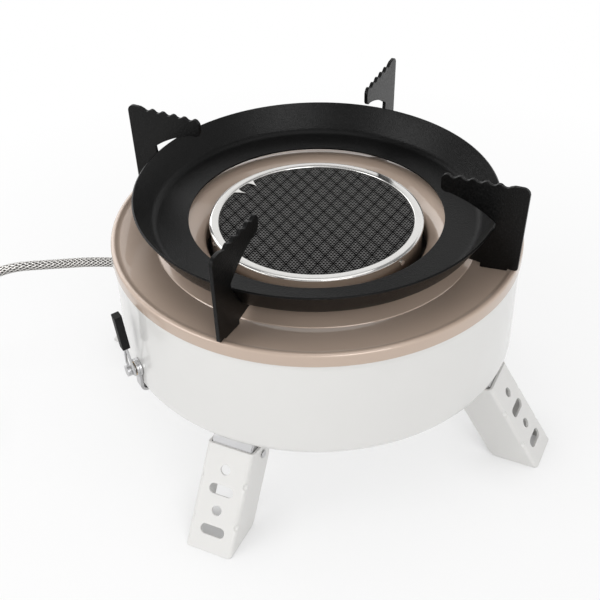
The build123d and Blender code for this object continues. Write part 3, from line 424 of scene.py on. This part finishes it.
def lathe(profile, roundings, segments, steps):
    """A build made by spinning a line of radius and height points about the axis, each corner rounded."""
    build = bmesh.new()
    corners = [build.verts.new((radius * MM, 0, height * MM)) for radius, height in profile]
    for one, two in zip(corners, corners[1:]):
        build.edges.new((one, two))
    for corner, rounding in zip(corners[1:-1], roundings):
        bmesh.ops.bevel(build, geom=[corner], offset=rounding * MM, offset_type="OFFSET", segments=segments,
                        profile=0.5, affect="VERTICES", material=-1)
    bmesh.ops.spin(build, geom=build.verts[:] + build.edges[:], cent=(0, 0, 0), axis=(0, 0, 1), angle=2 * pi,
                   steps=steps, use_merge=True)
    bmesh.ops.remove_doubles(build, verts=build.verts, dist=seam_distance)
    bmesh.ops.recalc_face_normals(build, faces=build.faces)
    return build


# %% Ring
ring_line = [(57.5, 132.5), (57.5, 133.6), (57.9, 134.0), (61.9, 134.1), (63.0, 133.7), (63.3, 132.9),
             (62.6, 132.5), (57.5, 132.5)]
ring = lathe(ring_line, roundings=[0.22] * 6, segments=3, steps=160)
print("ring faces", len(ring.faces))

# %% Tongues of the ring
tongue_root, tongue_length = 57.9, 6.9
tongue_base, tongue_rise = 133.1, 0.2
tongue_thickness = 0.5 * MM
root_width, root_curve, taper, tip_width = 4.2, 2.2, 0.9, 0.25
for azimuth, sweep in ((172.6, 0.6), (159.6, -0.9)):
    tongue = bmesh.ops.create_grid(ring, x_segments=8, y_segments=1, size=0.5)["verts"]
    for vert in tongue:
        share = vert.co.x + 0.5
        width = root_width * (1 - share) ** root_curve + taper * (1 - share) + tip_width
        vert.co.x = -(tongue_root - tongue_length * share) * MM
        vert.co.y = (vert.co.y * width + sweep * share * share) * MM
        vert.co.z = (tongue_base + tongue_rise * share) * MM
    faces = list({face for vert in tongue for face in vert.link_faces})
    lifted = verts_of(bmesh.ops.extrude_face_region(ring, geom=faces)["geom"])
    bmesh.ops.translate(ring, verts=lifted, vec=(0, 0, tongue_thickness))
    both_sides = {vert for face in faces for vert in face.verts} | set(lifted)
    bmesh.ops.rotate(ring, verts=list(both_sides), cent=(0, 0, 0),
                     matrix=Matrix.Rotation(radians(azimuth - 180), 3, "Z"))
bmesh.ops.recalc_face_normals(ring, faces=ring.faces)
pieces["retaining_ring"] = new_piece(ring, "retaining_ring_piece", "retaining_ring")
print("ring faces with tongues", len(pieces["retaining_ring"].data.polygons))

# %% [markdown]
# ## Top cover
# The cover is pressed from one sheet. The solid could be used as it is, but it has only a small bend where the
# crown meets the dish, and on the real cover a fine crease catches the light there as a thin line. So the
# sheet's section is drawn again with the crease, spun like the ring, and then given its thickness.

# %% Cover with its crease
sheet_thickness = 0.8 * MM
cover_line = [(65.5, 114.5), (65.5, 123.5), (80.0, 131.7), (94.65, 126.66), (95.1, 126.1), (95.45, 126.53),
              (116.6, 128.5), (118.4, 129.6), (121.0, 129.6), (121.0, 122.0)]
cover_roundings = [1.75, 2.7, 0.08, 0.08, 0.08, 1.15, 0.56, 1.5]
cover = lathe(cover_line, cover_roundings, segments=4, steps=192)
dish = max(cover.faces, key=lambda face: face.calc_area())
if dish.normal.z < 0:
    bmesh.ops.reverse_faces(cover, faces=cover.faces)
bmesh.ops.solidify(cover, geom=cover.faces[:], thickness=sheet_thickness)
bmesh.ops.recalc_face_normals(cover, faces=cover.faces)
pieces["top_cover"] = new_piece(cover, "top_cover_piece", "top_cover")
print("cover size", [round(size / MM, 2) for size in pieces["top_cover"].dimensions], "solid",
      [round(size / MM, 2) for size in frame["nodes"]["top_cover"].dimensions])

# %% [markdown]
# ## Smooth copies of the solids
# The other visible pieces are right in shape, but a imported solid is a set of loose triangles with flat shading.
# Modelling them again would only repeat the CAD. A copy with its corners merged, its flat faces joined and its
# curves shaded smooth takes gloss well, and a small bevel gives sheet edges their glint.


# %% Helper that dresses a solid
weld_distance = 0.002 * MM
flat_angle = radians(0.6)
edge_angle = radians(40)


def dress(node, name, edge):
    """A welded, smooth copy of a solid that stands in for it, with its edges broken by a small bevel."""
    build = bmesh.new()
    build.from_mesh(frame["nodes"][node].data)
    bmesh.ops.remove_doubles(build, verts=build.verts, dist=weld_distance)
    bmesh.ops.dissolve_limit(build, angle_limit=flat_angle, verts=build.verts, edges=build.edges)
    piece = new_piece(build, name, node)
    if edge:
        rounding = piece.modifiers.new("broken_edges", "BEVEL")
        rounding.width = edge * MM
        rounding.segments = 2
        rounding.limit_method = "ANGLE"
        rounding.angle_limit = edge_angle
        rounding.harden_normals = True
    return piece


# %% Dress the solids that show
edges = {  # width of the broken edge in mm
    "body_shell": 0.0, "burner_sleeve": 0.15, "windshield": 0.25, "key_wire": 0.0, "key_sleeve": 0.2,
    "valve_strip": 0.25, "valve_nut": 0.2, "valve_spindle": 0.2, "gas_inlet": 0.2, "hose_ferrule": 0.3,
    "end_ferrule": 0.4, "union_cone": 0.2, "union_nut": 0.4, "leg_pins": 0.25,
}
for side in ("right", "back", "left", "front"):
    edges[f"pan_support_{side}"] = 0.3
    edges[f"leg_{side}"] = 0.25
    edges[f"leg_bracket_{side}"] = 0.25
pieces.update({node: dress(node, f"{node}_piece", edge) for node, edge in edges.items()})
print("dressed", len(pieces), "faces", sum(len(piece.data.polygons) for piece in pieces.values()))

# %% [markdown]
# ## Shared effects
# Several finishes show the same small effects: the fine ripple of a sprayed coat or a grained metal, a slow
# drift of tone, and a scatter of specks. Each could be built again in every material, but a node group is
# built once and placed wherever it is needed with its own values. It puts out only a mask or a normal.


# %% Helpers for node groups
def new_group(name, inputs, outputs):
    """A shader node group with named number inputs and named outputs."""
    group = bpy.data.node_groups.new(name, "ShaderNodeTree")
    for label, value in inputs.items():
        socket = group.interface.new_socket(label, in_out="INPUT", socket_type="NodeSocketFloat")
        socket.default_value = value
    for label, kind in outputs.items():
        group.interface.new_socket(label, in_out="OUTPUT", socket_type=kind)
    start = group.nodes.new("NodeGroupInput")
    end = group.nodes.new("NodeGroupOutput")
    return group, start, end


def scaled_noise(group, start, **values):
    """Noise on a piece's own coordinates, at the scale that the group is given."""
    coords = add_node(group, "ShaderNodeTexCoord")
    noise = add_node(group, "ShaderNodeTexNoise", **values)
    group.links.new(coords.outputs["Object"], noise.inputs["Vector"])
    group.links.new(start.outputs["Scale"], noise.inputs["Scale"])
    return noise.outputs["Fac"]


# %% Ripple, drift and specks
ripple, start, end = new_group("coat_ripple", {"Scale": 900.0, "Depth": 0.1}, {"Normal": "NodeSocketVector"})
bump = add_node(ripple, "ShaderNodeBump", Distance=0.5 * MM)
ripple.links.new(scaled_noise(ripple, start, Detail=2.0), bump.inputs["Height"])
ripple.links.new(start.outputs["Depth"], bump.inputs["Strength"])
ripple.links.new(bump.outputs["Normal"], end.inputs["Normal"])

drift, start, end = new_group("tone_drift", {"Scale": 14.0}, {"Mask": "NodeSocketFloat"})
drift.links.new(scaled_noise(drift, start, Detail=5.0, Roughness=0.6), end.inputs["Mask"])

brightest = 0.8
specks, start, end = new_group("fine_specks", {"Scale": 2400.0, "Rarity": 0.6}, {"Mask": "NodeSocketFloat"})
limit = stretch(specks, scaled_noise(specks, start, Detail=1.0), 0.0, brightest)
specks.links.new(start.outputs["Rarity"], limit.inputs["From Min"])
specks.links.new(limit.outputs["Result"], end.inputs["Mask"])
print("groups", [group.name for group in bpy.data.node_groups])

# %% [markdown]
# ## How a finish is made
# A single flat colour looks like a drawing. On a real surface the tone and the gloss change together a
# little, and a fine grain breaks the reflections. So nearly every finish here takes a mask from a shared
# effect, mixes two tones by it, lets the roughness follow it, and adds a ripple. What is the same all over
# stays on the shader's own socket.


# %% Helpers for finishes
MIX_FIRST, MIX_SECOND, MIX_COLOUR = 6, 7, 2  # places of the colour sockets on a Mix node
finishes = {}


def new_finish(name, **values):
    """A node material with a principled shader whose plain sockets are filled in."""
    finish = bpy.data.materials.new(name)
    finish.use_nodes = True
    finishes[name] = finish
    tree = finish.node_tree
    shader = tree.nodes["Principled BSDF"]
    for key, value in values.items():
        shader.inputs[key.replace("_", " ")].default_value = value
    return tree, shader


def use_group(tree, group, **values):
    """A node that places a shared effect in a material with its own values."""
    node = tree.nodes.new("ShaderNodeGroup")
    node.node_tree = group
    for key, value in values.items():
        node.inputs[key].default_value = value
    return node


def two_tones(tree, mask, first, second, target):
    """Mix two colours by a mask and send the result to a colour socket."""
    mix = add_node(tree, "ShaderNodeMix", data_type="RGBA")
    mix.inputs[MIX_FIRST].default_value = (*first, 1)
    mix.inputs[MIX_SECOND].default_value = (*second, 1)
    tree.links.new(mask, mix.inputs[0])
    tree.links.new(mix.outputs[MIX_COLOUR], target)
    return mix


def spread(tree, mask, low, high, target):
    """Stretch a mask to a range of values and send it to a number socket."""
    tree.links.new(stretch(tree, mask, 0.0, 1.0, low, high).outputs["Result"], target)


def grained_finish(name, effect, effect_values, tones, roughness, grain, **values):
    """A finish whose tone and roughness follow the mask of a shared effect, with a fine grain."""
    tree, shader = new_finish(name, **values)
    mask = use_group(tree, effect, **effect_values).outputs["Mask"]
    relief = use_group(tree, ripple, **grain)
    mix = two_tones(tree, mask, *tones, shader.inputs["Base Color"])
    spread(tree, mask, *roughness, shader.inputs["Roughness"])
    tree.links.new(relief.outputs["Normal"], shader.inputs["Normal"])
    return tree, shader, mix


# %% [markdown]
# ## Sprayed coats
# The body and legs have a white powder coat, and the cover a taupe enamel with a little metal in it. A low
# roughness alone would make them look wet. A rougher base under a clear coat gives the soft colour and the
# sharp reflections of real enamel, and a faint ripple is what spraying leaves.


# %% Sprayed coats
def coat(name, tones, rough, peel_depth, gloss_drift=0.04, **values):
    """A sprayed coat with a slow drift of tone and a fine ripple."""
    grained_finish(name, drift, {"Scale": 18.0}, tones, (rough - gloss_drift, rough + gloss_drift),
                   {"Scale": 700.0, "Depth": peel_depth}, **values)


coat("white_coat", ((0.76, 0.753, 0.735), (0.73, 0.723, 0.705)), rough=0.32, peel_depth=0.03,
     Coat_Weight=0.7, Coat_Roughness=0.05)
coat("taupe_coat", ((0.53, 0.41, 0.328), (0.50, 0.387, 0.31)), rough=0.40, peel_depth=0.02,
     Metallic=0.25, Coat_Weight=1.0, Coat_Roughness=0.03)
print("coats", list(finishes))

# %% [markdown]
# ## Black heat-proof coat
# The windshield and the pan supports have a black paint that stands heat. It has a soft shine, a coarse
# grain and fine paler specks. A black with no grain or specks would show as a hole in the picture.

# %% Black heat-proof coat
grained_finish("black_coat", specks, {"Scale": 1500.0, "Rarity": 0.5}, tones=((0.0015,) * 3, (0.008,) * 3),
               roughness=(0.28, 0.42), grain={"Scale": 1500.0, "Depth": 0.4}, Specular_IOR_Level=0.18)
print("newest finish", list(finishes)[-1])

# %% [markdown]
# ## Metals
# The ring is polished, the burner's cup is plain sheet, the brackets, pins and key are zinc plated, and the
# hose ends in nickel and brass. They could share one material, but each has its own tone and polish. One
# recipe with slight stains and a fine grain serves them all.


# %% Metals
clean_gloss, stain_dulling = 0.05, 0.07


def metal(name, tones, rough, grain_depth, grain_scale=1800.0):
    """A bare or plated metal with slight stains and a fine grain."""
    grained_finish(name, drift, {"Scale": 60.0}, tones, (rough - clean_gloss, rough + stain_dulling),
                   {"Scale": grain_scale, "Depth": grain_depth}, Metallic=1.0)


metal("polished_steel", ((0.78, 0.77, 0.75), (0.72, 0.71, 0.69)), rough=0.11, grain_depth=0.002,
      grain_scale=600.0)
metal("burner_steel", ((0.46, 0.42, 0.38), (0.38, 0.35, 0.32)), rough=0.30, grain_depth=0.05,
      grain_scale=1500.0)
metal("zinc_steel", ((0.60, 0.60, 0.60), (0.50, 0.50, 0.51)), rough=0.30, grain_depth=0.08)
metal("nickel_steel", ((0.68, 0.66, 0.62), (0.60, 0.58, 0.55)), rough=0.22, grain_depth=0.05)
metal("brass", ((0.70, 0.48, 0.20), (0.60, 0.40, 0.16)), rough=0.26, grain_depth=0.06)
metal("copper_pipe", ((0.72, 0.36, 0.22), (0.60, 0.30, 0.18)), rough=0.28, grain_depth=0.05)
print("finishes so far", len(finishes))

# %% [markdown]
# ## Plastic, rubber and fibre
# The key's grip is black plastic, the valve has a rubber seal, and the plate is packed with pressed fibre.
# None of them shines, so what tells them apart is their tone and grain. One recipe makes all three: specks of
# a second tone over a rough base.


# %% Plastic, rubber and fibre
def dull(name, tones, roughness, grain_scale, grain_depth, **values):
    """A matt finish with specks of a second tone and a fine grain."""
    grained_finish(name, specks, {"Scale": grain_scale, "Rarity": 0.4}, tones, roughness,
                   {"Scale": grain_scale, "Depth": grain_depth}, **values)


dull("grip_black", ((0.004,) * 3, (0.012,) * 3), (0.45, 0.6), grain_scale=2200.0, grain_depth=0.2,
     Specular_IOR_Level=0.15)
dull("seal_rubber", ((0.015,) * 3, (0.03,) * 3), (0.55, 0.7), grain_scale=2200.0, grain_depth=0.2)
dull("fibre", ((0.60, 0.57, 0.52), (0.45, 0.42, 0.38)), (0.8, 0.95), grain_scale=1600.0, grain_depth=0.5)
print("finishes so far", len(finishes))

# %% [markdown]
# ## Fired ceramic
# The burner plate is matt grey ceramic, and its grooves and holes are painted black as shade in the recesses.
# Their walls could be given a second material, but painted shade has a soft edge. Here the height above the
# ground decides: the tops of the pads keep the grey, and whatever lies a little lower is painted dark as shade.

# %% Fired ceramic, with painted shade inside its grooves and holes
# Painted shade: everything a little below the pad tops (the grooves, the holes and the plate's side) is near
# black.
hole_shade_tone = (0.002,) * 3
shade_below, unshaded_above = plate_top - 0.15 * MM, plate_top - 0.01 * MM
tree, shader, web = grained_finish(
    "burner_ceramic", specks, {"Scale": 1800.0, "Rarity": 0.45},
    tones=((0.11, 0.109, 0.107), (0.15, 0.148, 0.145)), roughness=(0.65, 0.85),
    grain={"Scale": 1800.0, "Depth": 0.25}, Specular_IOR_Level=0.1)
coords = add_node(tree, "ShaderNodeTexCoord")
height = add_node(tree, "ShaderNodeSeparateXYZ")
tree.links.new(coords.outputs["Object"], height.inputs[0])
# The painted shade fades in between 0.01 and 0.15 mm under the pad tops.
unshaded_share = stretch(tree, height.outputs["Z"], shade_below, unshaded_above)
shaded_web = two_tones(tree, unshaded_share.outputs["Result"], hole_shade_tone, hole_shade_tone, shader.inputs["Base Color"])
tree.links.new(web.outputs[MIX_COLOUR], shaded_web.inputs[MIX_SECOND])
print("nodes in the ceramic", len(tree.nodes))

# %% [markdown]
# ## Braid of the hose
# The hose is covered with two families of wire that cross each other at a slant. Modelled wires would be
# heavy, so the material draws them on the tube's own map, which counts along the tube and round it. The sum
# and the difference of the two numbers make the two slants, and the higher wave at each spot is the wire on
# top.

# %% Braid
half_wave = 0.5
braid, start, end = new_group("wire_braid", {"Along": 480.0, "Round": 10.0}, {"Height": "NodeSocketFloat"})
chart = add_node(braid, "ShaderNodeUVMap", uv_map=hose_mesh.uv_layers[0].name)
parts = add_node(braid, "ShaderNodeSeparateXYZ")
braid.links.new(chart.outputs["UV"], parts.inputs[0])
along = calculate(braid, "MULTIPLY", parts.outputs["X"], start.outputs["Along"])
around = calculate(braid, "MULTIPLY", parts.outputs["Y"], start.outputs["Round"])
waves = []
for slant in ("ADD", "SUBTRACT"):
    wave = add_node(braid, "ShaderNodeMath", operation="PINGPONG")
    wave.inputs[1].default_value = half_wave
    braid.links.new(calculate(braid, slant, along, around), wave.inputs[0])
    waves.append(wave.outputs[0])
braid.links.new(calculate(braid, "MAXIMUM", *waves), end.inputs["Height"])
chart_values = [loop.uv for loop in hose_mesh.uv_layers[0].data]
print("map reaches", [round(max(value[axis] for value in chart_values), 3) for axis in (0, 1)])

# %% Woven steel of the hose
gap_tone, wire_tone = (0.06, 0.057, 0.055), (0.85, 0.83, 0.80)
gap_rough, wire_rough = 0.45, 0.25
wire_foot, wire_crest = 0.28, 0.48
tree, shader = new_finish("steel_braid", Metallic=1.0)
weave = use_group(tree, braid).outputs["Height"]
wires = stretch(tree, weave, wire_foot, wire_crest).outputs["Result"]
two_tones(tree, wires, gap_tone, wire_tone, shader.inputs["Base Color"])
spread(tree, wires, gap_rough, wire_rough, shader.inputs["Roughness"])
relief = add_node(tree, "ShaderNodeBump", Strength=0.8, Distance=0.6 * MM)
tree.links.new(weave, relief.inputs["Height"])
tree.links.new(relief.outputs["Normal"], shader.inputs["Normal"])
hose_mesh.materials.clear()
hose_mesh.materials.append(finishes["steel_braid"])
print("nodes in the braid", len(tree.nodes))

# %% [markdown]
# ## Which piece has which finish
# The record gives every solid a slot, and each slot has one finish of the same name here. So the finishes are
# given out in one loop: to the finer piece where there is one, and otherwise to the solid itself.

# %% Give the finishes out
for node, solid in frame["nodes"].items():
    shown = pieces.get(node, solid)
    shown.data.materials.clear()
    shown.data.materials.append(finishes[slot_of_node[node]])
print("finishes", len(finishes))
